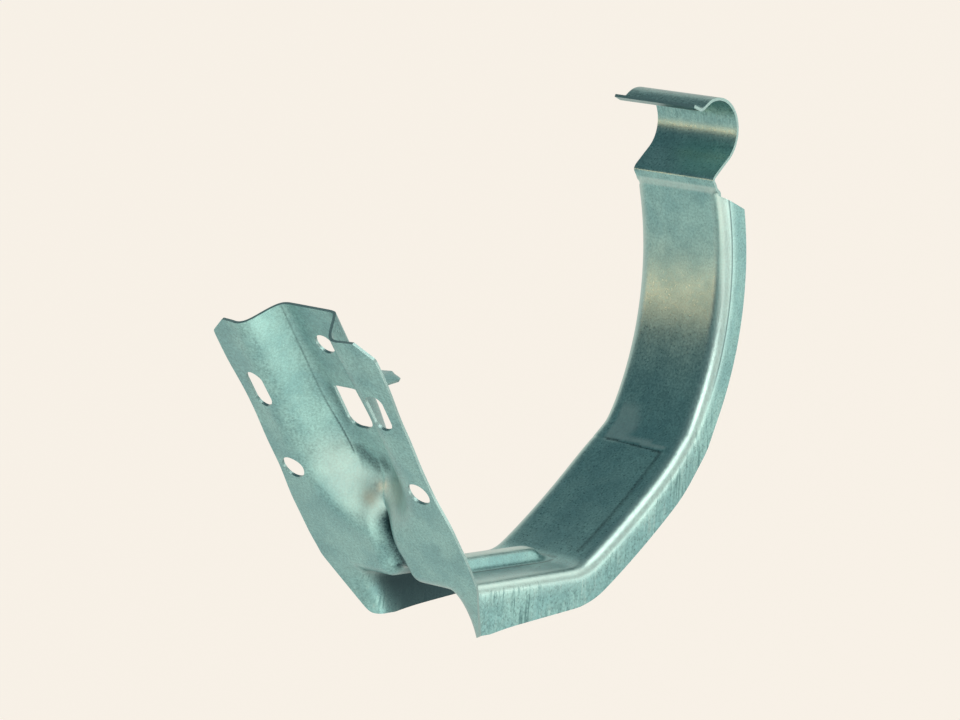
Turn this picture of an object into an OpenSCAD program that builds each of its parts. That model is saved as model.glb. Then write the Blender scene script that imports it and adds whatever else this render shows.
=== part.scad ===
// Eaves gutter bracket pressed from one strip of galvanised sheet steel.
// X points away from the fascia, Y runs along the gutter and Z is up.
// The rear face of the back plate lies on x = 0, and the origin is
// midway between the two round fixing holes.

/* [Sheet] */
// Thickness of the sheet
sheet_t = 0.9; // [0.8:0.1:1.2]

/* [Back plate] */
// Width of the back plate
plate_w = 60; // [58:0.2:66]
// Height of the top edge above the round holes
plate_top = 54.5; // [52:0.5:60]
// Width and height of the cut at each top corner
corner_cut = 5; // [3:0.5:6]
// How far each side is drawn in beside the pocket
draw_in = 1.2; // [0:0.1:2]

/* [Pocket] */
// How far the pocket stands forward
pocket_d = 10.7; // [8:0.1:12]
// Half width of its flat web at the top edge
pocket_web = 9.9; // [9:0.1:10.5]
// Half width of its mouth at the top edge
pocket_mouth = 15.5; // [15:0.1:16.5]
// Level at which its round lower end begins
pocket_end = 4; // [3:0.5:5]

/* [Fixings] */
// Diameter of the round holes
hole_d = 7.5; // [5:0.5:8]
// From the centre of each round hole to the side of the plate
hole_margin = 6.4; // [5:0.1:6.5]
// Width of the slots
slot_w = 6; // [5:0.5:7]
// Length of the slots over their round ends
slot_l = 12.5; // [10:0.5:15]
// From the centre of each slot to the side of the plate
slot_margin = 7.6; // [6:0.1:7.6]
// Level of the slots
slot_z = 29.5; // [26:0.5:32]
// Diameter of the hole in the web of the pocket
web_hole_d = 6.6; // [4:0.2:7]
// Level of the hole in the web of the pocket
web_hole_z = 41.3; // [40:0.1:44]

/* [Tongue] */
// Width of the window
window_w = 9; // [8:0.2:11]
// Level of the hinge line at the top of the window
window_top = 25.2; // [24:0.2:27]
// Height of the window
window_h = 14.8; // [13:0.2:17]
// Length of the tongue
tongue_l = 17.6; // [12:0.2:18]
// Angle of the tongue below the horizontal
tongue_a = 28; // [10:1:45]

/* [Arm] */
// Radius of the cradle on the gutter side
cradle_r = 83.5; // [82:0.5:85]
// Distance of the cradle's centre from the rear face
cradle_x = 75; // [74:0.5:77]
// Level of the cradle's centre
cradle_z = 4; // [3:0.5:6]
// Fall of the sloping foot of the arm, in degrees
foot_a = 36.9; // [35:0.1:39]
// Level at which the foot would meet the rear face
foot_z = -37; // [-39:0.1:-36]
// Distance of the kink from the rear face
kink_x = 48; // [45:0.5:51]
// Width over the side walls at the foot
foot_w = 37; // [36:0.5:38]
// Width over the side walls along the cradle
arm_w = 33.8; // [32:0.2:35]
// Outer radius of the folds along the arm
fold_r = 4; // [3:0.5:4.5]
// Depth of the side walls at the back plate
wall_back = 15.2; // [14:0.1:16]
// Depth of the side walls along the cradle
wall_d = 9.9; // [9:0.1:11]
// Height of the rib on the foot
rib_h = 3.4; // [2:0.1:3.6]
// Half width of the rib on the foot
rib_w = 5.4; // [4:0.1:6]

/* [Hook] */
// Width of the hook
hook_w = 30; // [28:0.5:31]
// Inner radius of the hook
hook_r = 9.9; // [9:0.1:10.5]
// Distance of the hook's centre from the rear face
hook_x = 164.1; // [163:0.1:166]
// Level of the hook's centre
hook_z = -3.8; // [-5:0.1:-2]
// Length of the turned-up lip
lip_l = 4; // [2.5:0.1:5]

/* [Hidden] */
$fn = 48;

half_t = sheet_t / 2;
wall_y = foot_w / 2 - half_t;          // mid plane of a side wall at the foot
arm_y = arm_w / 2 - half_t;            // and along the cradle
fold_mid = fold_r - half_t;
bend_r = 6.5;                          // bend from the plate into the foot
ear_r = 3;                             // bend from an ear into its side wall
cradle_mid = cradle_r + half_t;
hook_mid = hook_r + half_t;
scoop_in = 10.5;                       // reach of the flat web below pocket_end
scoop_out = 24;                        // reach of the whole pocket below pocket_end

function smooth(a, b, v) = let (t = max(0, min(1, (v - a) / (b - a)))) t * t * (3 - 2 * t);
function ramp(a, b, v) = max(0, min(1, (v - a) / (b - a)));
function unit(v) = v / norm(v);
function lerp(p, q, t) = p + (q - p) * t;

// ---- centre line of the sheet: stations [x, z, dx, dz] ----
down = [0, -1];
foot_dir = [cos(foot_a), -sin(foot_a)];
foot_in = [-foot_dir.y, foot_dir.x];               // towards the gutter
corner = let (x = half_t, z = foot_z - x * tan(foot_a) - half_t / cos(foot_a)) [x, z];
bend_len = bend_r * tan((90 - foot_a) / 2);
bend_top = corner - down * bend_len;
bend_end = corner + foot_dir * bend_len;
foot_start = bend_end + foot_dir * 15;             // where the walls reach their full depth
kink = let (s = (kink_x - corner.x) / foot_dir.x) corner + foot_dir * s;
panel_a = -67.5;                                   // where the cradle takes over
cradle_c = [cradle_x, cradle_z];
panel_end = cradle_c + cradle_mid * [cos(panel_a), sin(panel_a)];
panel_bow = 1.6;                                   // sag of the panel below its chord
panel_chord = unit(panel_end - kink);

function panel_pt(t) = lerp(kink, panel_end, t)
    + [panel_chord.y, -panel_chord.x] * panel_bow * 4 * t * (1 - t);
function panel_dir(t) = unit(panel_pt(t + 0.01) - panel_pt(t - 0.01));
function cradle_pt(a) = cradle_c + cradle_mid * [cos(a), sin(a)];

// Round a corner of the centre line at q, from p to r.
function rounded(p, q, r, n) = [for (i = [0:n]) let (
    t = i / n,
    c = (1 - t) * (1 - t) * p + 2 * t * (1 - t) * q + t * t * r,
    d = unit((1 - t) * (q - p) + t * (r - q))) [c.x, c.y, d.x, d.y]];

neck_a = -15.3;                                    // end of the cradle
neck_low = cradle_pt(neck_a);
neck_top = [hook_x - 8.3, hook_z - hook_mid - 0.6];  // corner under the seat of the hook
seat_dir = unit([1, 0.07]);
hook_c = [hook_x, hook_z];
lip_root = hook_c + [-2.1, hook_mid - 0.05];
lip_dir = unit([-2.4, 3.8]);

arm_path = concat(
    [for (s = [0.3, 0.6, 0.85]) let (c = lerp(foot_start, kink, s)) [c.x, c.y, foot_dir.x, foot_dir.y]],
    rounded(kink - foot_dir * 4, kink, panel_pt(0.07), 4),
    [for (t = [0.16:0.13:0.94]) let (c = panel_pt(t), d = panel_dir(t)) [c.x, c.y, d.x, d.y]],
    rounded(panel_pt(0.965), panel_end, cradle_pt(panel_a + 2), 2),
    [for (a = [panel_a + 5:5.1:neck_a - 0.3]) let (c = cradle_pt(a)) [c.x, c.y, -sin(a), cos(a)]]);

hook_path = concat(
    rounded(neck_low, neck_low + [0.2, 0.7], lerp(neck_low + [0.2, 0.7], neck_top, 0.35), 2),
    rounded(lerp(neck_low, neck_top, 0.68) + [0.2, 0], neck_top, neck_top + seat_dir * 2.2, 4),
    [for (a = [-92:14:76]) let (c = hook_c + hook_mid * [cos(a), sin(a)]) [c.x, c.y, -sin(a), cos(a)]],
    rounded(lip_root + [1.6, -0.15], lip_root, lip_root + lip_dir * 1.2, 4),
    [let (c = lip_root + lip_dir * lip_l) [c.x, c.y, lip_dir.x, lip_dir.y]]);

// ---- half of one cross-section: 17 points from the middle to the free edge ----
// A bump is 10 points [y, height], heights standing towards the gutter. Up to gw
// they carry the groove or rib, and from a to b the bank of the pocket.
function places(a, b, gw) = let (r = (b - a) / 5) [0, gw / 3, gw * 2 / 3, gw, (gw + a) / 2, a, a + r, (a + b) / 2, b, b + r * 1.6];
function flat_bump(h) = let (p = places(rib_w + 1.8, 9.6, rib_w), v = [1, 0.95, 0.45]) [for (i = [0:9]) [p[i], i < 3 ? h * v[i] : 0]];

// Points 10 to 16: from the last bump point q over the fold at k to the free edge f.
function side(q, k, f, r) = let (
    e1 = unit(k - q), e2 = unit(f - k), c = min(1, e1 * e2), beta = acos(c),
    tl = beta < 2 ? r * 0.5 : r * tan(beta / 2),
    m = beta < 2 ? e1 : unit(e2 - e1 * c),
    p = k - e1 * tl, s = k + e2 * tl)
    concat([lerp(q, p, 0.5)],
        [for (i = [0:3]) beta < 2 ? lerp(p, s, i / 3)
            : p + r * (sin(beta * i / 3) * e1 + (1 - cos(beta * i / 3)) * m)],
        [lerp(s, f, 0.5), f]);

function mirror_row(h) = concat([for (i = [16:-1:1]) [h[i].x, -h[i].y, h[i].z]], h);

// A row whose middle follows station st and whose sides go over k to f.
function row(st, b, k, f, r) = let (
    up = [-st[3], 0, st[2]], o = [st[0], 0, st[1]],
    mid = [for (p = b) o + [0, p.x, 0] + up * p.y])
    mirror_row(concat(mid, side(mid[9], k, f, r)));

// ---- rows of the back plate, from its top edge down to the bend ----
function flange_half(z) = plate_w / 2 - draw_in * smooth(-14, 2, z) * (1 - smooth(25, 42, z))
    - corner_cut * 1.15 * ramp(plate_top - corner_cut, plate_top, z)
    - 0.6 * smooth(-25, bend_top.y, z);
function lean(z) = draw_in * 0.45 * smooth(8, 22, z);
function web_half(z) = pocket_web - 2.1 * smooth(24, pocket_end, z);
function mouth_half(z) = pocket_mouth + 1.9 * smooth(plate_top, 20, z);

// Height of the pocket over the plate: straight banks above pocket_end, a round scoop below.
function bank(t) = let (p = 0.2, q = 0.3) t < -p ? 1 : t < p ? 1 - pow(t + p, 2) / 4 / p
    : t < 1 - q ? 1 - t : t < 1 + q ? pow(1 + q - t, 2) / 4 / q : 0;
function oval(s, c, a, b) = 1 / norm([s / a, c / b]);
function pocket_h(y, z) = let (a = web_half(max(z, pocket_end)), m = mouth_half(max(z, pocket_end)))
    z >= pocket_end ? pocket_d * bank((y - a) / (m - a))
    : let (d = norm([y, pocket_end - z]), s = y / d, c = (pocket_end - z) / d,
           i = oval(s, c, a, scoop_in), o = oval(s, c, m, scoop_out))
      pocket_d * bank((d - i) / (o - i));

// The groove starts as a point under the pocket and widens into the rib of the foot.
function groove_h(z) = (rib_h + 1.2) * smooth(-10, -21, z) * (1 - 0.25 * smooth(-26, bend_top.y, z));
function groove_v(z) = lerp([1, 0.36, 0.07, 0], [1, 0.95, 0.45, 0], smooth(-26, bend_top.y, z));

plate_z = concat([plate_top, plate_top - corner_cut, 42, 32, 22, 17, 12, 8],
    [for (z = [pocket_end:-1.8:-20]) z], [-22, -24, -26.5, -29, -31.5, bend_top.y]);

function plate_row(z) = let (
    w = flange_half(z), ms = mouth_half(max(z, pocket_end)),
    m = z > pocket_end ? ms : lerp(ms, 9.6, ramp(pocket_end, -27, z)),
    a = z > pocket_end ? web_half(z) : lerp(web_half(pocket_end), rib_w + 1.8, smooth(pocket_end, -16, z)),
    p = places(a, m, rib_w), v = groove_v(z), g = groove_h(z),
    e = p[9], ky = lerp(wall_y, e + 0.45 * (w - e), smooth(bend_top.y, -15, z)),
    lx = lean(z), fx = half_t + lx, kx = half_t + lx * (ky - m) / (w - m))
    row([half_t, z, 0, -1], [for (i = [0:9]) [p[i], pocket_h(p[i], z) + (i < 4 ? g * v[i] : 0)]],
        [kx, ky, z], [fx, w, z], fold_mid);

// ---- rows round the bend: the middle turns forward, the ears stay in the plate ----
function edge_at(c, d) = c - foot_in * d;
wall_low = edge_at(foot_start, wall_back - half_t);              // rear end of a wall's edge
ear_x = half_t + ear_r;
turn_z = wall_low.y + (wall_low.x - ear_x) * tan(foot_a);        // where the ears' fold ends
ear_z = turn_z + ear_r * PI / 2 * tan(foot_a) - 0.4;             // and where it starts
ear_top = [flange_half(bend_top.y), bend_top.y];
ear_low = [wall_y + ear_r + 0.4, ear_z + 0.8];
ear_rows = [for (i = [1:6]) let (
    t = i / 6, a = (90 - foot_a) * t,
    c = bend_top + bend_r * [1 - cos(a), -sin(a)],
    e = lerp(ear_top, ear_low, t))
    row([c.x, c.y, sin(a), -cos(a)], flat_bump(rib_h), [c.x, wall_y, c.y],
        [half_t, e.x, e.y], lerp(fold_mid * 0.7, fold_mid, t))];

// The ears turn forward into the side walls, and the walls lean to the foot's square.
wall_rows = [for (i = [1:8]) let (
    t = i / 8, c = lerp(bend_end, foot_start, t), g = min(1, i / 4),
    turn = [ear_x - ear_r * cos(90 * g), wall_y + (ear_r + 0.4 * (1 - g)) * (1 - sin(90 * g)), lerp(ear_z, turn_z, g)],
    f = [wall_low.x, wall_y, wall_low.y])
    row([c.x, c.y, foot_dir.x, foot_dir.y], flat_bump(rib_h),
        [c.x, wall_y, c.y], i < 4 ? turn : lerp(turn, f, ramp(4, 8, i)), fold_mid)];

// ---- rows along the arm ----
function arm_row(st) = let (
    c = [st[0], st[1]], inn = [-st[3], st[2]], on_foot = st[0] < kink_x - 1,
    n = smooth(kink_x + 42, kink_x + 66, st[0]), y = lerp(wall_y, arm_y, n),
    d = lerp(lerp(wall_back, wall_d + 1.5, ramp(10, kink_x, st[0])), wall_d, ramp(kink_x + 44, kink_x + 64, st[0])) - half_t,
    e = c - inn * d, h = (rib_h + 0.4) * (1 - ramp(kink_x - 3.5, kink_x + 0.5, st[0])))
    row(st, flat_bump(h), [c.x, y, c.y], [e.x, y, e.y], fold_mid);

// ---- rows of the hook: plain flat strip, trimmed to its width below ----
function hook_row(st) = let (p = places(rib_w + 1.8, 9.6, rib_w), w = hook_w / 2 + 2,
    h = [for (i = [0:16]) [st[0], i < 10 ? p[i] : lerp(p[9], w, (i - 9) / 7), st[1]]]) mirror_row(h);

rows = concat([for (z = plate_z) plate_row(z)], ear_rows, wall_rows,
    [for (st = arm_path) arm_row(st)], [for (st = hook_path) hook_row(st)]);

// Give a surface of rows the sheet's thickness.
module sheet(g, t) {
    n = len(g);
    m = len(g[0]);
    function nor(i, j) = unit(cross(
        g[min(n - 1, i + 1)][j] - g[max(0, i - 1)][j],
        g[i][min(m - 1, j + 1)] - g[i][max(0, j - 1)]));
    front = [for (i = [0:n - 1], j = [0:m - 1]) g[i][j] + nor(i, j) * t / 2];
    back = [for (i = [0:n - 1], j = [0:m - 1]) g[i][j] - nor(i, j) * t / 2];
    o = n * m;
    quads = concat(
        [for (i = [0:n - 2], j = [0:m - 2]) [i * m + j, i * m + j + 1, i * m + m + j + 1, i * m + m + j]],
        [for (i = [0:n - 2], j = [0:m - 2]) [o + i * m + j, o + i * m + m + j, o + i * m + m + j + 1, o + i * m + j + 1]],
        [for (j = [0:m - 2]) [j + 1, j, o + j, o + j + 1]],
        [for (j = [0:m - 2]) let (k = (n - 1) * m) [k + j, k + j + 1, o + k + j + 1, o + k + j]],
        [for (i = [0:n - 2]) [i * m, i * m + m, o + i * m + m, o + i * m]],
        [for (i = [0:n - 2]) let (k = m - 1) [i * m + m + k, i * m + k, o + i * m + k, o + i * m + m + k]]);
    polyhedron(concat(front, back), [for (q = quads) each [[q[0], q[1], q[2]], [q[0], q[2], q[3]]]]);
}

module along_x(d, x, y, z, l) { translate([x, y, z]) rotate([0, 90, 0]) cylinder(d = d, h = l); }

// The side walls end in a slanting cut, and above it the strip is trimmed to the hook's width.
module end_cut() {
    function at(a, r) = cradle_c + r * [cos(a), sin(a)];
    b = at(neck_a - 1.4, cradle_r + 0.3);
    d = lerp(b, at(neck_a - 6.4, cradle_r + wall_d), 1.6);
    far = [d.x + 25, hook_z + 30];
    for (s = [0, 1]) mirror([0, s, 0]) translate([0, hook_w / 2 + 25, 0]) rotate([90, 0, 0]) linear_extrude(25)
        polygon([at(neck_a - 1.2, cradle_r - 4), b, d, [far.x, d.y], far, [b.x - 8, far.y]]);
}

module slot(y, z) {
    for (s = [-1, 1]) along_x(slot_w, -2, y, z + s * (slot_l - slot_w) / 2, 8);
    translate([-2, y - slot_w / 2, z - (slot_l - slot_w) / 2]) cube([8, slot_w, slot_l - slot_w]);
}

module window() {
    r = 3.6;
    low = window_top - window_h;
    x = pocket_d - 4;
    for (s = [-1, 1]) along_x(2 * r, x, s * (window_w / 2 - r), low + r, 10);
    translate([x, -window_w / 2 + r, low]) cube([10, window_w - 2 * r, r + 1]);
    translate([x, -window_w / 2, low + r]) cube([10, window_w, window_h - r]);
    intersection() {                                 // the hinge line is slightly arched
        translate([x, -window_w / 2, window_top - 1]) cube([10, window_w, 3]);
        along_x(36, x, 0, window_top + 0.65 - 18, 10);
    }
}

module tongue() {
    w = window_w - 0.6;
    t = sheet_t * 0.9;
    translate([pocket_d + half_t, 0, window_top + 0.9]) rotate([0, tongue_a, 0])
        intersection() {
            translate([-0.4, -w / 2, -t / 2]) cube([tongue_l + 0.4, w, t]);
            translate([tongue_l - w * 0.62, 0, -t]) union() {
                cylinder(r = w * 0.62, h = 2 * t);
                translate([-tongue_l, -w, 0]) cube([tongue_l, 2 * w, 2 * t]);
            }
        }
}

module gutter_bracket() {
    color("LightSlateGray") {
        difference() {
            sheet(rows, sheet_t);
            for (s = [-1, 1]) {
                along_x(hole_d, -2, s * (plate_w / 2 - hole_margin), 0, 8);
                slot(s * (plate_w / 2 - slot_margin), slot_z);
            }
            along_x(web_hole_d, pocket_d - 4, 0, web_hole_z, 10);
            window();
            end_cut();
        }
        tongue();
    }
}

gutter_bracket();
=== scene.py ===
import bpy
from math import sin, cos, tan, acos, atan2, pi, radians, degrees
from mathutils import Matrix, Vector


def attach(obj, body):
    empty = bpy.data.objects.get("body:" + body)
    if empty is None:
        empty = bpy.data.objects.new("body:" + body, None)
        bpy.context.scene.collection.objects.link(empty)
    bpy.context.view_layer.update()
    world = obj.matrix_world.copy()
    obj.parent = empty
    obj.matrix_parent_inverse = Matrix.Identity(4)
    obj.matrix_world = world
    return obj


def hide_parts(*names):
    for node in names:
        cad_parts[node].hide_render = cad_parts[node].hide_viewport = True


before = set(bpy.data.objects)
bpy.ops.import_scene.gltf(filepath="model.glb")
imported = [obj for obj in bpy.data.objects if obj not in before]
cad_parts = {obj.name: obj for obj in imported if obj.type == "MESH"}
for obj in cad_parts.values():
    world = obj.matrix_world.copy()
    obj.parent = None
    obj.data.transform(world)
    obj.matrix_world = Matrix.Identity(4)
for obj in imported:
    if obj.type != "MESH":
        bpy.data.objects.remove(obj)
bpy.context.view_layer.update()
mm = 0.001
print("frame loaded")


def linear(hexColour):  # sRGB hex to the linear values that a shader takes
    parts = [int(hexColour[i:i + 2], 16) / 255 for i in (0, 2, 4)]
    return [c / 12.92 if c <= 0.04045 else ((c + 0.055) / 1.055) ** 2.4 for c in parts] + [1]


def ramp(a, b, v):  # 0 at a and 1 at b, straight between them
    return max(0.0, min(1.0, (v - a) / (b - a)))


def smooth(a, b, v):  # the same with soft ends
    t = ramp(a, b, v)
    return t * t * (3 - 2 * t)


def mix(p, q, t):
    return p + (q - p) * t


view = dict(place=(-0.63154, -0.84227, 0.74650), turn=(52.92969, 19.50004, -53.49306), lens=173.63,
            sensor=36, backdrop="f7f0e6")

cameraData = bpy.data.cameras.new("camera")
camera = bpy.data.objects.new("camera", cameraData)
bpy.context.scene.collection.objects.link(camera)
bpy.context.scene.camera = camera
camera.location = view["place"]
camera.rotation_euler = [radians(a) for a in view["turn"]]
cameraData.lens = view["lens"]
cameraData.sensor_width = view["sensor"]
cameraData.clip_start = 0.01
cameraData.clip_end = 50
bpy.context.scene.view_settings.view_transform = "Standard"

# Soft boxes: the way to each from the bracket, its distance and size in metres and its power in watts.
lampAim = Vector((0.08, 0, -0.01))
lamps = dict(
    foldLight=dict(towards=(-0.15, -0.74, 0.63), distance=1.3, size=(0.9, 0.6), power=6, colour="fff6ec"),
    panelLight=dict(towards=(0.56, -0.53, 0.63), distance=1.3, size=(0.8, 0.7), power=5, colour="fff6ec"),
    upperLight=dict(towards=(-0.60, -0.76, 0.20), distance=1.3, size=(0.5, 0.5), power=0.4, colour="fff6ec"),
    rightLight=dict(towards=(0.97, -0.24, 0.05), distance=1.4, size=(0.8, 0.6), power=1.5, colour="fff6ec"),
    bandLight=dict(towards=(-0.67, 0.62, 0.395), distance=1.6, size=(0.8, 0.07), power=2.75, colour="ffb487"),
    lowFront=dict(towards=(0.12, -0.78, -0.52), distance=1.0, size=(1.5, 0.5), power=5.4, colour="fff3e8"),
    bankLight=dict(towards=(-0.42, -0.68, -0.60), distance=0.8, size=(0.5, 0.4), power=0.6, colour="fff0de"),
    leftLight=dict(towards=(-0.93, -0.30, 0.02), distance=1.1, size=(1.0, 1.2), power=3.3, colour="ffeedc"),
)
for name, lamp in lamps.items():
    data = bpy.data.lights.new(name, "AREA")
    data.shape = "RECTANGLE"
    data.size, data.size_y = lamp["size"]
    data.energy = lamp["power"]
    data.color = linear(lamp["colour"])[:3]
    light = bpy.data.objects.new(name, data)
    bpy.context.scene.collection.objects.link(light)
    towards = Vector(lamp["towards"]).normalized()
    light.location = lampAim + towards * lamp["distance"]
    light.rotation_euler = towards.to_track_quat("Z", "Y").to_euler()
    light.visible_camera = False


def addNode(tree, kind, inputs, **settings):  # each input is a node, one of its sockets, or a fixed value
    made = tree.nodes.new(kind)
    for key, value in settings.items():
        setattr(made, key, value)
    for key, value in inputs.items():
        if isinstance(value, bpy.types.Node):
            value = value.outputs[0]
        if isinstance(value, bpy.types.NodeSocket):
            tree.links.new(value, made.inputs[key])
        else:
            made.inputs[key].default_value = value
    return made


# The room: a pale sweep low down all round under a grey ceiling. The eye, and the metal where it mirrors the
# sweep, see the backdrop's own colour instead.
room = dict(sweep="dceae6", ceiling="62787c", sweepTop=0.28, ceilingFrom=0.42)
world = bpy.data.worlds.new("studio")
bpy.context.scene.world = world
world.use_nodes = True
tree = world.node_tree
tree.nodes.clear()
around = addNode(tree, "ShaderNodeTexCoord", {})
way = addNode(tree, "ShaderNodeSeparateXYZ", {0: around.outputs["Generated"]})
rise = addNode(tree, "ShaderNodeMapRange", {
    "Value": way.outputs["Z"], "From Min": room["sweepTop"], "From Max": room["ceilingFrom"]},
    interpolation_type="SMOOTHSTEP")
shade = addNode(tree, "ShaderNodeMixRGB", {
    "Fac": rise, "Color1": linear(room["sweep"]), "Color2": linear(room["ceiling"])})
path = addNode(tree, "ShaderNodeLightPath", {})
low = addNode(tree, "ShaderNodeMath", {0: 1, 1: rise}, operation="SUBTRACT")
mirrored = addNode(tree, "ShaderNodeMath", {0: path.outputs["Is Glossy Ray"], 1: low}, operation="MULTIPLY")
shown = addNode(tree, "ShaderNodeMath", {0: path.outputs["Is Camera Ray"], 1: mirrored}, operation="MAXIMUM")
seen = addNode(tree, "ShaderNodeMixRGB", {"Fac": shown, "Color1": shade, "Color2": linear(view["backdrop"])})
air = addNode(tree, "ShaderNodeBackground", {"Color": seen})
addNode(tree, "ShaderNodeOutputWorld", {"Surface": air})
print("camera, lamps and room")


def newMaterial(name):
    made = bpy.data.materials.new(name)
    made.use_nodes = True
    made.node_tree.nodes.clear()
    return made, made.node_tree


# The floor is painted board, matt and pale. It keeps the backdrop's colour to the eye and in the metal, and
# the bracket's faint shadow.
floorBoard = dict(paint="e9e2d8", glow=1.03, glowShare=0.96, level=-0.55, size=12)
floorPaint, tree = newMaterial("matt painted board")
paint = addNode(tree, "ShaderNodeBsdfDiffuse", {"Color": linear(floorBoard["paint"])})
glow = addNode(tree, "ShaderNodeEmission", {
    "Color": linear(view["backdrop"]), "Strength": floorBoard["glow"]})
path = addNode(tree, "ShaderNodeLightPath", {})
seen = addNode(tree, "ShaderNodeMath", {0: path.outputs["Is Camera Ray"], 1: path.outputs["Is Glossy Ray"]},
               operation="MAXIMUM")
share = addNode(tree, "ShaderNodeMath", {0: seen, 1: floorBoard["glowShare"]}, operation="MULTIPLY")
board = addNode(tree, "ShaderNodeMixShader", {0: share, 1: paint, 2: glow})
addNode(tree, "ShaderNodeOutputMaterial", {"Surface": board})

bpy.ops.object.select_all(action="DESELECT")
bpy.ops.mesh.primitive_plane_add(size=floorBoard["size"], location=(0, 0, floorBoard["level"]))
floor = bpy.context.object
floor.name = "floor"
floor.data.materials.append(floorPaint)
print("floor")

# The pressed sheet is drawn row by row from the top edge of the plate to the lip of the hook. Its sizes are
# in millimetres until the vertices are placed, and its side view is drawn in x and z.
strip = dict(thickness=0.9, plateWidth=60, plateTop=54.5, cornerCut=5, cornerSlope=1.15, drawIn=1.2,
             drawInBelow=(42, 25), drawInAbove=(-14, 2), earDrawIn=0.6, earFrom=-25, leanShare=0.45,
             leanOver=(8, 22))
pocket = dict(depth=10.7, web=9.9, webNarrows=2.1, webNarrowsFrom=24, mouth=15.5, mouthWidens=1.9,
              mouthWideAt=20, end=4, nearBend=0.2, farBend=0.45, scoopBend=0.22, farBendFrom=6, footBend=0.38,
              farShift=0.7, scoreDepth=0.12, scoreOver=(-3, 8))
scoop = dict(inner=10.5, outer=24, runOut=-27, webOut=-16, grooveFrom=-10, grooveFull=-22, ribFrom=-26,
             grooveExtra=2.4, ribLoss=0.4)
arm = dict(footFall=36.9, footLevel=-37, bendRadius=6.5, wallsFullAt=15, footWidth=37, armWidth=33.8,
           narrows=(90, 114), foldRadius=4, earRadius=3.0, earSlack=0.4, earRise=0.8,
           wallBack=15.2, wallDepth=9.9, wallExtra=1.5, lowersFrom=10, lowers=(92, 112),
           ribHeight=3.4, ribExtra=0.4, ribHalf=5.4, ribEdge=7.2, flatHalf=9.6, ribEnds=(44.5, 48.5),
           kinkX=48, panelAngle=-67.5, panelBow=1.6, radius=83.5, centreX=75, centreZ=4, neckAngle=-15.3)
press = dict(line=99.7, slant=0.06, width=0.8, depth=0.3, sink=0.12)
hook = dict(width=30, trim=2, radius=9.9, centreX=164.1, centreZ=-3.8, neckStep=(0.2, 0.7), seatBack=8.3,
            seatDrop=0.6, seatWay=(1, 0.07), lip=4, lipBack=2.1, lipWay=(-2.4, 3.8))

half = strip["thickness"] / 2
wallY = arm["footWidth"] / 2 - half
armY = arm["armWidth"] / 2 - half
foldMid = arm["foldRadius"] - half
cradleMid = arm["radius"] + half
hookMid = hook["radius"] + half
ribHalf, ribEdge, flatHalf, kinkX = arm["ribHalf"], arm["ribEdge"], arm["flatHalf"], arm["kinkX"]
bendRadius, earRadius, neckAngle = arm["bendRadius"], arm["earRadius"], arm["neckAngle"]


def sidePoint(x, z):
    return Vector((x, z))


def heading(angle):
    return sidePoint(cos(radians(angle)), sin(radians(angle)))


fall = tan(radians(arm["footFall"]))
footDir = heading(-arm["footFall"])
footIn = sidePoint(-footDir.y, footDir.x)  # towards the gutter
corner = sidePoint(half, arm["footLevel"] - half * fall - half / cos(radians(arm["footFall"])))
bendLength = bendRadius * tan(radians((90 - arm["footFall"]) / 2))
bendTop = corner + sidePoint(0, bendLength)
bendEnd = corner + footDir * bendLength
footStart = bendEnd + footDir * arm["wallsFullAt"]
kink = corner + footDir * ((kinkX - corner.x) / footDir.x)
cradleCentre = sidePoint(arm["centreX"], arm["centreZ"])
hookCentre = sidePoint(hook["centreX"], hook["centreZ"])


def cradlePoint(angle, radius=cradleMid):
    return cradleCentre + radius * heading(angle)


panelEnd = cradlePoint(arm["panelAngle"])
panelChord = (panelEnd - kink).normalized()


def panelPoint(t):  # along the panel from the blunt bend to the arc
    return mix(kink, panelEnd, t) + sidePoint(panelChord.y, -panelChord.x) * arm["panelBow"] * 4 * t * (1 - t)


def hookPoint(angle):
    return hookCentre + hookMid * heading(angle)


def rounded(start, bend, end, count):  # centre line stations (point, direction) round a corner
    made = []
    for i in range(count + 1):
        t = i / count
        point = (1 - t) ** 2 * start + 2 * t * (1 - t) * bend + t * t * end
        made.append((point, ((1 - t) * (bend - start) + t * (end - bend)).normalized()))
    return made


def spread(start, end, step):
    count = max(1, round(abs(end - start) / step))
    return [mix(start, end, i / count) for i in range(count + 1)]


# Each half of a row has these points: six on the groove or rib, four round the edge of the flat web, six down
# the bank to its foot, two beyond it, and nine from the fold to the free edge.
ribSteps = (0, 0.13, 0.3, 0.5, 0.72, 1)
bankSteps = (0.14, 0.32, 0.5, 0.68, 0.84, 1)
webRound = 0.35
foldSteps = 5


def places(web, mouth):  # distances from the middle for a web and a bank of these half widths
    bank = mouth - web
    made = [ribHalf * s for s in ribSteps]
    made += [mix(ribHalf, web, 0.6), web - webRound, web, web + webRound]
    made += [web + webRound + (bank - webRound) * s for s in bankSteps]
    return made + [mouth + bank * 0.2, mouth + bank * 0.5]


def bankHeight(share, top, foot=pocket["footBend"]):  # 1 on the web and 0 on the flange, rounded at both
    if share < -top:
        return 1
    if share < top:
        return 1 - (share + top) ** 2 / 4 / top
    if share < 1 - foot:
        return 1 - share
    return (1 + foot - share) ** 2 / 4 / foot if share < 1 + foot else 0


def webHalf(z):
    return pocket["web"] - pocket["webNarrows"] * smooth(pocket["webNarrowsFrom"], pocket["end"], z)


def mouthHalf(z):
    return pocket["mouth"] + pocket["mouthWidens"] * smooth(strip["plateTop"], pocket["mouthWideAt"], z)


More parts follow.
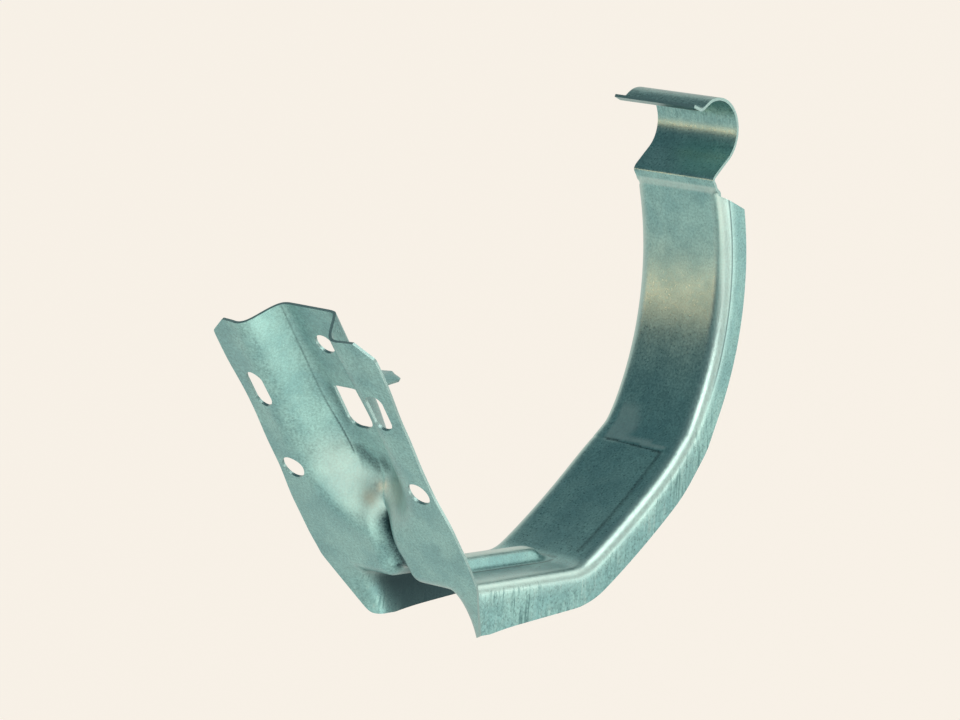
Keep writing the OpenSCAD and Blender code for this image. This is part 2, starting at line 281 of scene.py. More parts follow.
def bankShare(y, z):  # 0 at the edge of the web and 1 at the mouth; below the pocket's end both are round
    web, mouth = webHalf(max(z, pocket["end"])), mouthHalf(max(z, pocket["end"]))
    if z >= pocket["end"]:
        return (y - web) / (mouth - web)
    drop = pocket["end"] - z
    reach = (y * y + drop * drop) ** 0.5
    inner = 1 / ((y / reach / web) ** 2 + (drop / reach / scoop["inner"]) ** 2) ** 0.5
    outer = 1 / ((y / reach / mouth) ** 2 + (drop / reach / scoop["outer"]) ** 2) ** 0.5
    return (reach - inner) / (outer - inner)


def grooveHeight(u, ribbed):  # a sharp valley where it starts, and the round rib of the foot further down
    return mix(max(0, 1 - u) ** 2, 1 - smooth(0.30, 0.97, u), ribbed)


def fold(start, bend, edge, radius):  # from the profile's end over the fold to the free edge
    into, out = (bend - start).normalized(), (edge - bend).normalized()
    lean = min(1.0, into.dot(out))
    turn = degrees(acos(lean))
    flat = turn < 2
    length = radius * 0.5 if flat else radius * tan(radians(turn / 2))
    rise = into if flat else (out - into * lean).normalized()
    first, last = bend - into * length, bend + out * length
    made = [mix(start, first, 0.5)]
    for i in range(foldSteps):
        t = i / (foldSteps - 1)
        a = radians(turn * t)
        made.append(mix(first, last, t) if flat else first + radius * (sin(a) * into + (1 - cos(a)) * rise))
    return made + [mix(last, edge, 0.33), mix(last, edge, 0.8), edge]


def row(station, profile, bend, edge, radius):
    point, ahead = station
    up = Vector((-ahead.y, 0, ahead.x))
    base = Vector((point.x, 0, point.y))
    middle = [base + Vector((0, y, 0)) + up * h for y, h in profile]
    return middle + fold(middle[-1], Vector(bend), Vector(edge), radius)


def ribProfile(height):
    return [(y, height * grooveHeight(min(1, y / ribHalf), 1)) for y in places(ribEdge, flatHalf)]


def flangeHalf(z):
    cut, top = strip["cornerCut"], strip["plateTop"]
    waist = smooth(*strip["drawInAbove"], z) * smooth(*strip["drawInBelow"], z)
    cornerIn = cut * strip["cornerSlope"] * ramp(top - cut, top, z)
    earIn = strip["earDrawIn"] * smooth(strip["earFrom"], bendTop.y, z)
    return strip["plateWidth"] / 2 - strip["drawIn"] * waist - cornerIn - earIn


def plateRow(z, side):  # the bank on the side towards +Y is the softer one
    end, flange = pocket["end"], flangeHalf(z)
    mouth, web = mouthHalf(max(z, end)), webHalf(max(z, end))
    near, far = pocket["nearBend"], pocket["farBend"]
    top = near
    if side > 0:
        top = mix(pocket["scoopBend"], far, smooth(scoop["webOut"], pocket["farBendFrom"], z))
    if z <= end:
        mouth = mix(mouth, flatHalf, ramp(end, scoop["runOut"], z))
        web = mix(web, ribEdge, smooth(end, scoop["webOut"], z))
    ribbed = smooth(scoop["ribFrom"], bendTop.y, z)
    groove = (arm["ribHeight"] + scoop["grooveExtra"]) * smooth(scoop["grooveFrom"], scoop["grooveFull"], z)
    groove *= 1 - scoop["ribLoss"] * ribbed
    score = pocket["scoreDepth"] * smooth(*pocket["scoreOver"], z)
    profile = []
    for i, y in enumerate(places(web, mouth)):
        shift = pocket["farShift"] * (top - near) / (far - near) if i >= len(ribSteps) else 0
        h = pocket["depth"] * bankHeight(bankShare(y - shift, z), top)
        if side > 0 and y == web:
            h -= score
        if y < ribHalf:
            h += groove * grooveHeight(y / ribHalf, ribbed)
        profile.append((y, h))
    foot = profile[-1][0]
    bendY = mix(wallY, foot + 0.45 * (flange - foot), smooth(bendTop.y, -15, z))
    lean = strip["drawIn"] * strip["leanShare"] * smooth(*strip["leanOver"], z)
    bend = (half + lean * (bendY - mouth) / (flange - mouth), bendY, z)
    return row((sidePoint(half, z), sidePoint(0, -1)), profile, bend, (half + lean, flange, z), foldMid)


wallLow = footStart - footIn * (arm["wallBack"] - half)  # rear end of a wall's free edge
earX = half + earRadius
turnLevel = wallLow.y + (wallLow.x - earX) * fall
earLevel = turnLevel + earRadius * pi / 2 * fall - arm["earSlack"]


def bendRow(t):  # the middle turns forward and the ears stay in the plate
    a = radians((90 - arm["footFall"]) * t)
    c = bendTop + bendRadius * sidePoint(1 - cos(a), -sin(a))
    ear = mix(sidePoint(flangeHalf(bendTop.y), bendTop.y),
              sidePoint(wallY + earRadius + arm["earSlack"], earLevel + arm["earRise"]), t)
    return row((c, sidePoint(sin(a), -cos(a))), ribProfile(arm["ribHeight"]), (c.x, wallY, c.y),
               (half, ear.x, ear.y), mix(foldMid * 0.7, foldMid, t))


def wallRow(t):  # first the ears turn forward into the side walls, then the walls reach their full depth
    c, turned = mix(bendEnd, footStart, t), min(1, 2 * t)
    a, radius = radians(90 * turned), earRadius + arm["earSlack"] * (1 - turned)
    ear = Vector((earX - earRadius * cos(a), wallY + radius * (1 - sin(a)), mix(earLevel, turnLevel, turned)))
    edge = mix(ear, Vector((wallLow.x, wallY, wallLow.y)), ramp(0.5, 1, t))
    return row((c, footDir), ribProfile(arm["ribHeight"]), (c.x, wallY, c.y), edge, foldMid)


def pastPress(x, y):  # how far a place on the panel lies beyond the slightly slanting press line
    return x - press["line"] - press["slant"] * y


def pressDepth(x, y):  # the shallow line that the edge of the press tool left, and the sink before it
    off = pastPress(x, y) / press["width"]
    line = press["depth"] * max(0, 1 - abs(off)) * smooth(13, 11, abs(y))
    return line + press["sink"] * smooth(0.3, -0.6, off) * smooth(12, 11, abs(y)) * smooth(52, 60, x)


def armRow(station, side=1):
    c, ahead = station
    inward = sidePoint(-ahead.y, ahead.x)
    y = mix(wallY, armY, smooth(*arm["narrows"], c.x))
    depth = mix(arm["wallBack"], arm["wallDepth"] + arm["wallExtra"], ramp(arm["lowersFrom"], kinkX, c.x))
    depth = mix(depth, arm["wallDepth"], ramp(*arm["lowers"], c.x)) - half
    edge = c - inward * depth
    height = (arm["ribHeight"] + arm["ribExtra"]) * (1 - ramp(*arm["ribEnds"], c.x))
    profile = [(u, h - pressDepth(c.x, side * u)) for u, h in ribProfile(height)]
    return row(station, profile, (c.x, y, c.y), (edge.x, y, edge.y), foldMid)


def hookRow(station):  # a plain flat strip, trimmed to its width below
    c = station[0]
    edge, inner = hook["width"] / 2 + hook["trim"], places(ribEdge, flatHalf)
    outer = [mix(inner[-1], edge, i / 9) for i in range(1, 10)]
    return [Vector((c.x, y, c.y)) for y in inner + outer]


def plateLevels():
    top, end = strip["plateTop"], pocket["end"]
    made = [top - drop for drop in (0, 0.8, 2, 3.4, 4.4, 5)] + spread(top - 7.5, 24, 3.0)
    return made + spread(22, end + 1.2, 2.0) + spread(end, -22, 1.05) + spread(-23.1, bendTop.y, 1.2)


def armStations():
    made = [(mix(footStart, kink, s), footDir) for s in (0.18, 0.36, 0.54, 0.68, 0.78)]
    made += rounded(kink - footDir * 4.5, kink, panelPoint(0.08), 8)
    for t in spread(0.13, 0.83, 0.06) + spread(0.848, 0.902, 0.009) + [0.93]:  # closer at the press line
        made.append((panelPoint(t), (panelPoint(t + 0.01) - panelPoint(t - 0.01)).normalized()))
    made += rounded(panelPoint(0.975), panelEnd, cradlePoint(arm["panelAngle"] + 1.2), 4)
    angles = spread(arm["panelAngle"] + 2.8, neckAngle - 2.6, 2.2)
    return made + [(cradlePoint(a), heading(a + 90)) for a in angles]


def hookStations():
    low, seat = cradlePoint(neckAngle), sidePoint(*hook["seatWay"]).normalized()
    step = low + sidePoint(*hook["neckStep"])
    seatCorner = hookCentre + sidePoint(-hook["seatBack"], -hookMid - hook["seatDrop"])
    lipRoot = hookCentre + sidePoint(-hook["lipBack"], hookMid - 0.05)
    lipDir = sidePoint(*hook["lipWay"]).normalized()
    made = rounded(low, step, mix(step, seatCorner, 0.35), 4)
    made += rounded(mix(low, seatCorner, 0.68) + sidePoint(0.2, 0), seatCorner, seatCorner + seat * 2.2, 6)
    made += [(hookPoint(a), heading(a + 90)) for a in spread(-92, 76, 7)]
    made += rounded(lipRoot + sidePoint(1.6, -0.15), lipRoot, lipRoot + lipDir * 1.2, 6)
    return made + [(lipRoot + lipDir * s, lipDir) for s in (hook["lip"] * 0.65, hook["lip"])]


halves = [(plateRow(z, -1), plateRow(z, 1)) for z in plateLevels()]
plateCount = len(halves)
halves += [(h, h) for h in [bendRow(i / 8) for i in range(1, 9)] + [wallRow(i / 12) for i in range(1, 13)]]
halves += [(armRow(station, -1), armRow(station, 1)) for station in armStations()]
for i in range(1, 5):  # the folds fade out under the slanting cut
    a = neckAngle - 2.6 + 2.4 * i / 4
    station = (cradlePoint(a), heading(a + 90))
    h = [mix(p, q, smooth(0, 4, i)) for p, q in zip(armRow(station), hookRow(station))]
    halves.append((h, h))
wallCount = len(halves)
halves += [(h, h) for h in [hookRow(station) for station in hookStations()]]

rows = [[Vector((p.x, -p.y, p.z)) for p in reversed(right[1:])] + left for right, left in halves]
across, along = len(rows[0]), len(rows)
bpy.ops.object.select_all(action="DESELECT")
bpy.ops.mesh.primitive_grid_add(x_subdivisions=across - 1, y_subdivisions=along - 1, size=2,
                                location=(0, 0, 0))
sheet = bpy.context.object
sheet.name = "pressedSheet"
cells = []
for vertex in sheet.data.vertices:
    i = round((1 - vertex.co.y) / 2 * (along - 1))
    j = round((vertex.co.x + 1) / 2 * (across - 1))
    cells.append((i, j))
    vertex.co = rows[i][j] * mm
print("sheet", across, "by", along)

# The UV map is the flat strip in metres: across it, and along it from the top edge of the plate.
middle = across // 2
lengthAt, widthAt = [0.0], []
for i in range(1, along):
    lengthAt.append(lengthAt[-1] + (rows[i][middle] - rows[i - 1][middle]).length)
for points in rows:
    widths = [0.0] * across
    for j in range(middle + 1, across):
        widths[j] = widths[j - 1] + (points[j] - points[j - 1]).length
        widths[across - 1 - j] = -widths[j]
    widthAt.append(widths)

# What the press did to the skin, with painted highlights and painted shade laid into the same marks. Columns
# are counted from the middle, plus towards +Y.
marks = dict(webEdge=8, hollow=5, hollowSpan=(11, 25), ribTop=3, ribFoot=-6, panelEdge=-17, firstFold=18,
             wallFrom=(21, 23), groove={-1: 0.9, 0: 1, 1: 1, 2: 0.9, 3: 0.4},
             foldRubAndHighlight=(0.12, 0.5, 0.65, 0.5, 0.15), scuff=(6.5, 9.5), scuffFade=(8.5, 5), hookShadeShare=0.1)


# Painted highlight where the hook begins, die streaks low on the hook, darker towards the lip, and a small
# share of painted occlusion shade.
def hookWearAndLight(i, spot):
    angle = degrees(atan2(spot.z - hookCentre.y, spot.x - hookCentre.x))
    rubAndHighlight = 0.5 * smooth(wallCount + 3, wallCount, i)
    return rubAndHighlight, 0.8 * smooth(-40, -10, angle), 0.3 * smooth(25, 60, angle), marks["hookShadeShare"]


# Painted highlight on the bank above the scoop, and painted shade in the crease at the pocket's end and down
# the groove. The score beside the web is a real press line.
def plateWearAndLight(spot, column):
    share = bankShare(abs(spot.y), spot.z) if column else -1
    rubAndHighlight = 0.35 * smooth(-0.2, 0.3, share) * smooth(1.2, 0.6, share) * smooth(14, 0, spot.z)
    score = 0.6 + 0.3 * smooth(28, 8, spot.z) if column == marks["webEdge"] and spot.z > 0 else 0
    if spot.z < pocket["end"] and column > -4:
        score = max(score, 0.6 * smooth(-0.5, -0.3, share) * smooth(0.02, -0.15, share))
    if column == marks["hollow"] and marks["hollowSpan"][0] < spot.z < marks["hollowSpan"][1]:
        score = 0.42
    if column in marks["groove"]:
        score = max(score, marks["groove"][column] * smooth(-14, -19, spot.z))
    return rubAndHighlight, 0, score, 1


# Rubbed folds with painted highlights along them, painted highlights on the rib top, below the hook and
# beside the press line, and painted shade at the rib's foot and in the groove.
def armWearAndLight(i, spot, column):
    off, onArm = abs(column), smooth(plateCount, plateCount + 14, i)
    onFold = off - marks["firstFold"] - 1
    rubAndHighlight = onArm * marks["foldRubAndHighlight"][onFold] if 0 <= onFold < foldSteps else 0
    score = 0
    if i > wallCount - 3:  # just below the hook
        rubAndHighlight = max(rubAndHighlight, 0.4)
    if spot.x < kinkX:
        if off < marks["ribTop"]:
            rubAndHighlight = max(rubAndHighlight, 0.7 * onArm)
        if column == marks["ribFoot"]:
            score = 0.95 * onArm
        if column in marks["groove"]:
            score = max(score, 0.9 * smooth(plateCount + 7, plateCount + 1, i))
    if column == marks["panelEdge"] and kinkX + 6 < spot.x < press["line"]:  # a line beside the fold
        score = 0.6
    if pressDepth(spot.x, spot.y) > press["depth"] * 0.7:
        score = 0.7
    if off < 7 and 0.8 < spot.x - kinkX < 2:  # where the rib ends
        score = 0.5
    if off < marks["firstFold"]:
        if 0.7 < pastPress(spot.x, spot.y) < 2:
            rubAndHighlight = max(rubAndHighlight, 0.55)
        scuff = Vector((spot.x - press["line"] - marks["scuff"][0], spot.y - marks["scuff"][1])).length
        rubAndHighlight = max(rubAndHighlight, 0.5 * smooth(*marks["scuffFade"], scuff))
    streaks = onArm * ramp(*marks["wallFrom"], off) * mix(0.3, 1, smooth(132, 104, spot.x))
    return rubAndHighlight, streaks, score, 1


def wearAndPaintedLight(i, j):  # rubbed bright with painted highlights, streaked by the die, scored dark with painted shade in creases, and how far painted occlusion shade may darken it
    spot = rows[i][j]
    if i >= wallCount:
        return hookWearAndLight(i, spot)
    return plateWearAndLight(spot, j - middle) if i < plateCount else armWearAndLight(i, spot, j - middle)


def addSkin(obj):  # the wear, painted highlight and painted shade of each corner of the mesh, none until it is painted
    made = obj.data.color_attributes.new("skin", "FLOAT_COLOR", "CORNER")
    for item in made.data:
        item.color = (0, 0, 0, 1)
    return made


skin = addSkin(sheet)
uvMap = sheet.data.uv_layers.active
uvName = uvMap.name  # kept as text, because the modifiers and the join replace the layer itself
for loop in sheet.data.loops:
    i, j = cells[loop.vertex_index]
    uvMap.data[loop.index].uv = (widthAt[i][j] * mm, lengthAt[i] * mm)
    skin.data[loop.index].color = wearAndPaintedLight(i, j)


def applyModifier(obj, kind, **settings):
    bpy.context.view_layer.objects.active = obj
    made = obj.modifiers.new(kind.lower(), kind)
    for key, value in settings.items():
        setattr(made, key, value)
    bpy.ops.object.modifier_apply(modifier=made.name)


applyModifier(sheet, "SUBSURF", levels=1, render_levels=1, boundary_smooth="PRESERVE_CORNERS")
galvanised, skinTree = newMaterial("hot-dip galvanised steel")
sheared, edgeTree = newMaterial("sheared steel edge")


def addSlots(obj):
    obj.data.materials.clear()
    obj.data.materials.append(galvanised)
    obj.data.materials.append(sheared)


addSlots(sheet)
applyModifier(sheet, "SOLIDIFY", thickness=strip["thickness"] * mm, offset=0, use_quality_normals=True,
              material_offset_rim=1)
print("thickness", len(sheet.data.polygons))

# The holes, the window and the slanting cut at the end of the walls are punched through together.
holes = dict(roundSize=7.5, roundMargin=6.4, slotWidth=6, slotLength=12.5, slotMargin=7.6, slotLevel=29.5,
             webHole=6.6, webHoleLevel=41.3, sides=96, start=-2.0, reach=8.0, webStart=6.7, webReach=10)
window = dict(width=9, top=25.2, height=14.8, corner=3.6, arch=0.65, archRound=36)


def punch(width, length, place, start=holes["start"], reach=holes["reach"]):  # a round or long-round hole
    bpy.ops.object.select_all(action="DESELECT")
    centre = ((start + reach / 2) * mm, 0, 0)
    bpy.ops.mesh.primitive_cylinder_add(vertices=holes["sides"], radius=width / 2 * mm, depth=reach * mm,
                                        location=centre, rotation=(0, radians(90), 0))
    tool = bpy.context.object
    bpy.ops.object.transform_apply(location=True, rotation=True, scale=True)
    stretch = (length - width) / 2 * mm
    for vertex in tool.data.vertices:
        co = vertex.co
        co.z += stretch if co.z > 0.00001 else -stretch if co.z < -0.00001 else 0
        vertex.co = co + Vector((0, place[0], place[1])) * mm
    return tool


def prism(outline, plane, start, depth):  # a straight cutter: an outline pushed through along x or y
    bpy.ops.object.select_all(action="DESELECT")
    bpy.ops.mesh.primitive_circle_add(vertices=len(outline), fill_type="NGON", location=(0, 0, 0))
    tool = bpy.context.object
    for vertex, (a, z) in zip(tool.data.vertices, outline):
        vertex.co = Vector((start, a, z) if plane == "x" else (a, start, z)) * mm
    push = (depth * mm, 0, 0) if plane == "x" else (0, depth * mm, 0)
    bpy.ops.object.mode_set(mode="EDIT")
    bpy.ops.mesh.select_all(action="SELECT")
    bpy.ops.mesh.extrude_region_move(TRANSFORM_OT_translate={"value": push})
    bpy.ops.mesh.select_all(action="SELECT")
    bpy.ops.mesh.normals_make_consistent(inside=False)
    bpy.ops.object.mode_set(mode="OBJECT")
    return tool


def windowOutline():  # round lower corners and a slightly arched top
    w, low, r = window["width"] / 2, window["top"] - window["height"], window["corner"]
    right = [(w - r + r * sin(a), low + r - r * cos(a)) for a in [radians(7.5 * i) for i in range(13)]]
    top = [(y, window["top"] + window["arch"] - y * y / window["archRound"]) for y in spread(w, -w, 0.5)]
    return right + top + [(-y, z) for y, z in reversed(right)]


def endOutline():  # above this slant the walls are cut away and the strip is trimmed to the hook
    root = cradlePoint(neckAngle - 1.4, arm["radius"] + 0.3)
    tip = mix(root, cradlePoint(neckAngle - 6.4, arm["radius"] + arm["wallDepth"]), 1.6)
    far = sidePoint(tip.x + 25, hook["centreZ"] + 30)
    return [tuple(p) for p in (cradlePoint(neckAngle - 1.2, arm["radius"] - 4), root, tip,
                               sidePoint(far.x, tip.y), far, sidePoint(root.x - 8, far.y))]


tools = []
for side in (-1, 1):
    roundPlace = (side * (strip["plateWidth"] / 2 - holes["roundMargin"]), 0)
    slotPlace = (side * (strip["plateWidth"] / 2 - holes["slotMargin"]), holes["slotLevel"])
    tools.append(punch(holes["roundSize"], holes["roundSize"], roundPlace))
    tools.append(punch(holes["slotWidth"], holes["slotLength"], slotPlace))
    tools.append(prism(endOutline(), "y", side * hook["width"] / 2, side * 25))
tools.append(punch(holes["webHole"], holes["webHole"], (0, holes["webHoleLevel"]), holes["webStart"],
                   holes["webReach"]))
tools.append(prism(windowOutline(), "x", holes["webStart"], holes["webReach"]))
bpy.ops.object.select_all(action="DESELECT")
for tool in tools:
    tool.select_set(True)
bpy.context.view_layer.objects.active = tools[0]
bpy.ops.object.join()
addSkin(tools[0])
addSlots(tools[0])
for face in tools[0].data.polygons:
    face.material_index = 1
applyModifier(sheet, "BOOLEAN", operation="DIFFERENCE", solver="EXACT", object=tools[0])
bpy.data.objects.remove(tools[0])
print("pierced", len(sheet.data.polygons))

# The tongue stays joined along the top of the window and is bent forward, and one edge hangs lower.
tongueSizes = dict(width=8.4, length=19.8, thickness=0.81, rootRise=1.2, bend=1.9, fall=28, noseShare=0.62,
                   tipHalf=0.35, droop=1.6, droopOver=12)
bpy.ops.object.select_all(action="DESELECT")
bpy.ops.mesh.primitive_grid_add(x_subdivisions=16, y_subdivisions=24, size=2, location=(0, 0, 0))
tongue = bpy.context.object
tongue.name = "tongue"
hinge = sidePoint(pocket["depth"] + half, window["top"] + tongueSizes["rootRise"])
turnRadius, turnSpan = tongueSizes["bend"], radians(90 - tongueSizes["fall"])
nose = tongueSizes["width"] * tongueSizes["noseShare"]
for vertex in tongue.data.vertices:
    down, side = (1 - vertex.co.y) / 2 * tongueSizes["length"], vertex.co.x
    turned = min(turnSpan, down / turnRadius)
    p = hinge + turnRadius * sidePoint(1 - cos(turned), -sin(turned))
    p += max(0, down - turnSpan * turnRadius) * sidePoint(sin(turnSpan), -cos(turnSpan))
    p.y -= tongueSizes["droop"] * smooth(0, tongueSizes["droopOver"], down) * max(0, -side) ** 1.5
    width, pastNose = tongueSizes["width"] / 2, down - tongueSizes["length"] + nose
    if pastNose > 0:
        width = min(width, max(0.0, nose ** 2 - pastNose ** 2) ** 0.5)
    vertex.co = Vector((p.x, side * max(width, tongueSizes["tipHalf"]), p.y)) * mm
addSkin(tongue)
addSlots(tongue)
applyModifier(tongue, "SOLIDIFY", thickness=tongueSizes["thickness"] * mm, offset=0, use_quality_normals=True,
              material_offset_rim=1)
print("tongue")

# Painted shade on the inner faces of the channel, fading out towards the plate.
channel = dict(wallAt=13, faceFrom=0.1, faceFull=0.6, rearFrom=-1, rearFull=11)
inside = sheet.data.attributes.new("inside", "FLOAT", "CORNER")
for face in sheet.data.polygons:
    for k in face.loop_indices:
        spot = sheet.data.vertices[sheet.data.loops[k].vertex_index].co / mm
        if spot.z > bendTop.y or spot.x < half:
            continue
        if abs(spot.y) > channel["wallAt"] and abs(face.normal.y) > 0.5:
            shadeShare = 1 if face.normal.y * spot.y < 0 else 0
        else:
            out = Vector((spot.x - arm["centreX"], 0, spot.z - arm["centreZ"])).normalized()
            shadeShare = smooth(channel["faceFrom"], channel["faceFull"], face.normal.dot(out))
        inside.data[k].value = shadeShare * smooth(channel["rearFrom"], channel["rearFull"], spot.x)

sheet.select_set(True)
tongue.select_set(True)
bpy.context.view_layer.objects.active = sheet
bpy.ops.object.join()
bpy.ops.object.mode_set(mode="EDIT")
bpy.ops.mesh.select_all(action="SELECT")
bpy.ops.mesh.normals_make_consistent(inside=False)
bpy.ops.object.mode_set(mode="OBJECT")
bpy.ops.object.shade_smooth_by_angle(angle=radians(38))

# Hot-dip galvanised sheet: a dull blue-green zinc skin with faint crystals and clouds, rubbed bright where
# the press tool folded it, drawn into fine streaks on the walls and stained where water stood in the scoop.
# Painted highlights lie along the folds, on the rib top and on the scoop's bank, and painted shade lies in
# crevices, creases, the groove and inside the channel.
# The grain of the zinc, a tenth of a millimetre or two, and the streaks are drawn coarser so that they show.
zinc = dict(dark="7ba8aa", light="8cb8b7", rubbedAndHighlight="c8ddd8", streak="4f787a", score="2a4348", stain="a58f70",
            paintedShade="263f45", rough=0.33, rubbedRough=0.35, roughBelow=0.06, roughAbove=0.08, metallic=0.92,
            grainMm=0.65, crystalMm=3.2, cloudMm=11, pitMm=5, streakMm=0.9, streakLongMm=11, rippleMm=0.2,
            ripple=0.12, lineAtMm=17.8, lineHalfMm=0.5, lineFromMm=215, lineFadeMm=20,
            stainAt=(0.0056, 0.0042, -0.0122), stainMm=4.0, occlusionMm=60)
tree = skinTree
place = addNode(tree, "ShaderNodeTexCoord", {}).outputs["Object"]
unrolled = addNode(tree, "ShaderNodeUVMap", {}, uv_map=uvName)
flat = addNode(tree, "ShaderNodeSeparateXYZ", {0: unrolled})
painted = addNode(tree, "ShaderNodeVertexColor", {}, layer_name="skin")
wearAndLightChannels = addNode(tree, "ShaderNodeSeparateColor", {"Color": painted.outputs["Color"]})
grain = addNode(tree, "ShaderNodeTexNoise", {
    "Vector": place, "Scale": 1 / (zinc["grainMm"] * mm), "Detail": 3.0, "Roughness": 0.6})
cloud = addNode(tree, "ShaderNodeTexNoise", {
    "Vector": place, "Scale": 1 / (zinc["cloudMm"] * mm), "Detail": 4.0, "Roughness": 0.6})
pit = addNode(tree, "ShaderNodeTexNoise", {
    "Vector": place, "Scale": 1 / (zinc["pitMm"] * mm), "Detail": 5.0, "Roughness": 0.75})
crystal = addNode(tree, "ShaderNodeTexVoronoi", {"Vector": place, "Scale": 1 / (zinc["crystalMm"] * mm)})
facet = addNode(tree, "ShaderNodeSeparateColor", {"Color": crystal.outputs["Color"]})
streakSize = (zinc["streakMm"] * mm, zinc["streakMm"] * mm, zinc["streakLongMm"] * mm)
drawn = addNode(tree, "ShaderNodeMapping", {  # squarely across the foot
    "Vector": place, "Rotation": (0, radians(arm["footFall"]), 0), "Scale": streakSize},
    vector_type="TEXTURE")
streaks = addNode(tree, "ShaderNodeTexNoise", {
    "Vector": drawn, "Scale": 1.0, "Detail": 3.0, "Roughness": 0.65})
outward = addNode(tree, "ShaderNodeMath", {0: flat.outputs["X"]}, operation="ABSOLUTE")
fromStain = addNode(tree, "ShaderNodeVectorMath", {0: place, 1: zinc["stainAt"]}, operation="DISTANCE")
# Painted shade from occlusion: darker where nearby sheet hems the surface in.
occlusion = addNode(tree, "ShaderNodeAmbientOcclusion", {"Distance": zinc["occlusionMm"] * mm}, samples=8)
channelShadeShare = addNode(tree, "ShaderNodeAttribute", {}, attribute_name="inside")

# Each mask: what it reads, the two values it runs between, what it gives there, and how it runs.
lineAt, lineFrom = zinc["lineAtMm"] * mm, zinc["lineFromMm"] * mm
maskTable = dict(
    clouds=(cloud, 0.35, 0.65, 0, 1, "SMOOTHSTEP"),
    grainLight=(grain, 0.34, 0.66, 0.83, 1.15, "SMOOTHSTEP"),
    facetLight=(facet, 0, 1, 0.965, 1.035, "LINEAR"),
    rubAndHighlightBreakup=(streaks, 0.3, 0.6, 0.75, 1.0, "SMOOTHSTEP"),
    darkStreaks=(streaks, 0.50, 0.64, 0, 0.8, "SMOOTHSTEP"),
    streakPatches=(cloud, 0.42, 0.58, 0.2, 1, "SMOOTHSTEP"),
    brightStreaks=(streaks, 0.44, 0.32, 0, 0.2, "SMOOTHSTEP"),
    brokenScore=(grain, 0.38, 0.60, 1.0, 0.72, "SMOOTHSTEP"),
    pits=(pit, 0.70, 0.76, 0, 0.45, "SMOOTHSTEP"),
    # A dark line along the upper wall where it creases: painted shade.
    lineInner=(outward, lineAt - zinc["lineHalfMm"] * mm, lineAt, 0, 1, "SMOOTHSTEP"),
    lineOuter=(outward, lineAt + zinc["lineHalfMm"] * mm, lineAt, 0, 1, "SMOOTHSTEP"),
    lineStart=(flat.outputs["Y"], lineFrom, lineFrom + zinc["lineFadeMm"] * mm, 0, 0.75, "SMOOTHSTEP"),
    stainRound=(fromStain.outputs["Value"], zinc["stainMm"] * mm, 0, 0, 0.36, "SMOOTHSTEP"),
    stainPatches=(cloud, 0.3, 0.6, 0.5, 1, "SMOOTHSTEP"),
    occlusionShade=(occlusion.outputs["AO"], 0.70, 0.40, 0, 0.9, "SMOOTHSTEP"),
    channelShade=(channelShadeShare.outputs["Fac"], 0, 1, 0, 0.93, "LINEAR"),
    grainRough=(grain, 0.3, 0.7, zinc["rough"] - zinc["roughBelow"], zinc["rough"] + zinc["roughAbove"],
                "SMOOTHSTEP"),
    rubbedRough=(wearAndLightChannels, 0, 1, 0, zinc["rough"] - zinc["rubbedRough"], "SMOOTHSTEP"),
)
masks = {}
for name, (source, low, high, toLow, toHigh, kind) in maskTable.items():
    masks[name] = addNode(tree, "ShaderNodeMapRange", {
        "Value": source, "From Min": low, "From Max": high, "To Min": toLow, "To Max": toHigh},
        interpolation_type=kind)

base = addNode(tree, "ShaderNodeMixRGB", {
    "Fac": masks["clouds"], "Color1": linear(zinc["dark"]), "Color2": linear(zinc["light"])})
speck = addNode(tree, "ShaderNodeMath", {
    0: masks["grainLight"], 1: masks["facetLight"]}, operation="MULTIPLY")
base = addNode(tree, "ShaderNodeVectorMath", {0: base, "Scale": speck}, operation="SCALE")

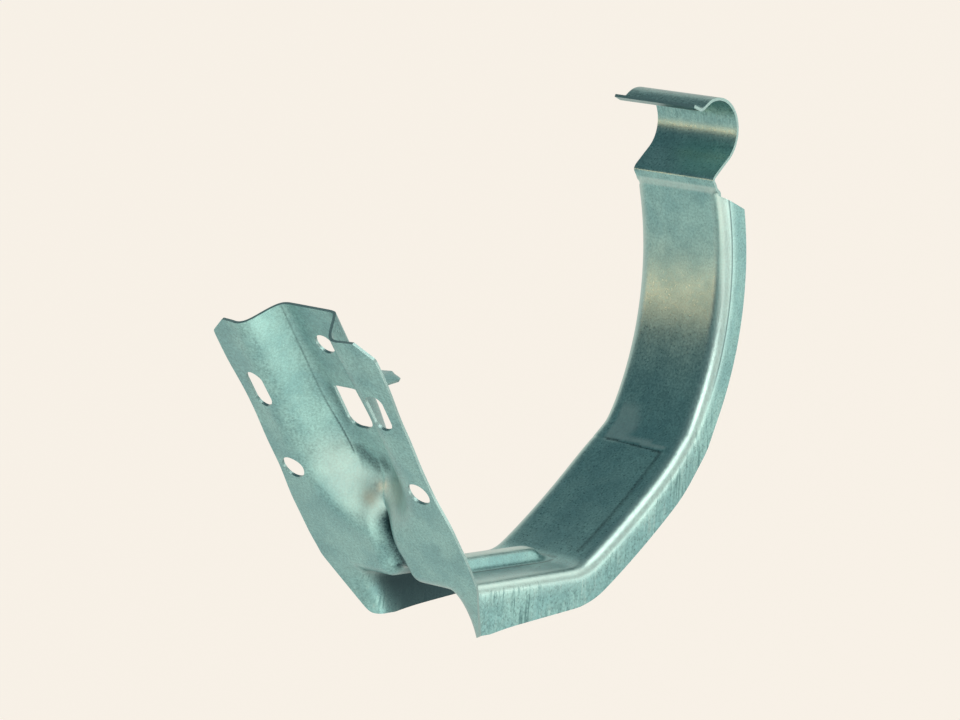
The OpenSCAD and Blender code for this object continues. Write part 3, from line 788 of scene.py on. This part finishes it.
# Each colour is laid over the ones before it, by the product of its shares.
# The rubbed colour also carries painted highlights, the score colour also painted shade, and the last two
# layers are painted shade.
layers = [
    ("rubbedAndHighlight", wearAndLightChannels.outputs["Red"], masks["rubAndHighlightBreakup"]),
    ("streak", wearAndLightChannels.outputs["Green"], masks["darkStreaks"], masks["streakPatches"]),
    ("rubbedAndHighlight", wearAndLightChannels.outputs["Green"], masks["brightStreaks"]),
    ("score", wearAndLightChannels.outputs["Blue"], masks["brokenScore"]),
    ("score", masks["pits"]),
    ("score", masks["lineInner"], masks["lineOuter"], masks["lineStart"]),
    ("stain", masks["stainRound"], masks["stainPatches"]),
    ("paintedShade", masks["occlusionShade"], painted.outputs["Alpha"]),
    ("paintedShade", masks["channelShade"]),
]
for colour, share, *others in layers:
    for other in others:
        share = addNode(tree, "ShaderNodeMath", {0: share, 1: other}, operation="MULTIPLY")
    base = addNode(tree, "ShaderNodeMixRGB", {"Fac": share, "Color1": base, "Color2": linear(zinc[colour])})

rough = addNode(tree, "ShaderNodeMath", {
    0: masks["grainRough"], 1: masks["rubbedRough"]}, operation="SUBTRACT")
ripple = addNode(tree, "ShaderNodeBump", {
    "Height": grain, "Strength": zinc["ripple"], "Distance": zinc["rippleMm"] * mm})
metal = addNode(tree, "ShaderNodeBsdfPrincipled", {
    "Base Color": base, "Roughness": rough, "Normal": ripple, "Metallic": zinc["metallic"]})
addNode(tree, "ShaderNodeOutputMaterial", {"Surface": metal})

# The sheared edge of the steel is bare and a little brighter, with the fine cross lines of the blade, drawn
# coarser than they are so that they show.
cutEdge = dict(colour="93b3b2", line="87a6a6", lineMm=0.35, lineSpan=(0.4, 0.6), rough=0.36, metallic=0.95,
               ripple=0.06, rippleMm=0.1)
tree = edgeTree
place = addNode(tree, "ShaderNodeTexCoord", {}).outputs["Object"]
blade = addNode(tree, "ShaderNodeTexNoise", {
    "Vector": place, "Scale": 1 / (cutEdge["lineMm"] * mm), "Detail": 2.0, "Roughness": 0.5})
lines = addNode(tree, "ShaderNodeMapRange", {
    "Value": blade, "From Min": cutEdge["lineSpan"][0], "From Max": cutEdge["lineSpan"][1]},
    interpolation_type="SMOOTHSTEP")
base = addNode(tree, "ShaderNodeMixRGB", {
    "Fac": lines, "Color1": linear(cutEdge["colour"]), "Color2": linear(cutEdge["line"])})
ripple = addNode(tree, "ShaderNodeBump", {
    "Height": blade, "Strength": cutEdge["ripple"], "Distance": cutEdge["rippleMm"] * mm})
metal = addNode(tree, "ShaderNodeBsdfPrincipled", {
    "Base Color": base, "Roughness": cutEdge["rough"], "Normal": ripple, "Metallic": cutEdge["metallic"]})
addNode(tree, "ShaderNodeOutputMaterial", {"Surface": metal})
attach(sheet, "root")
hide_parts("gutter_bracket")
print("galvanised finish")
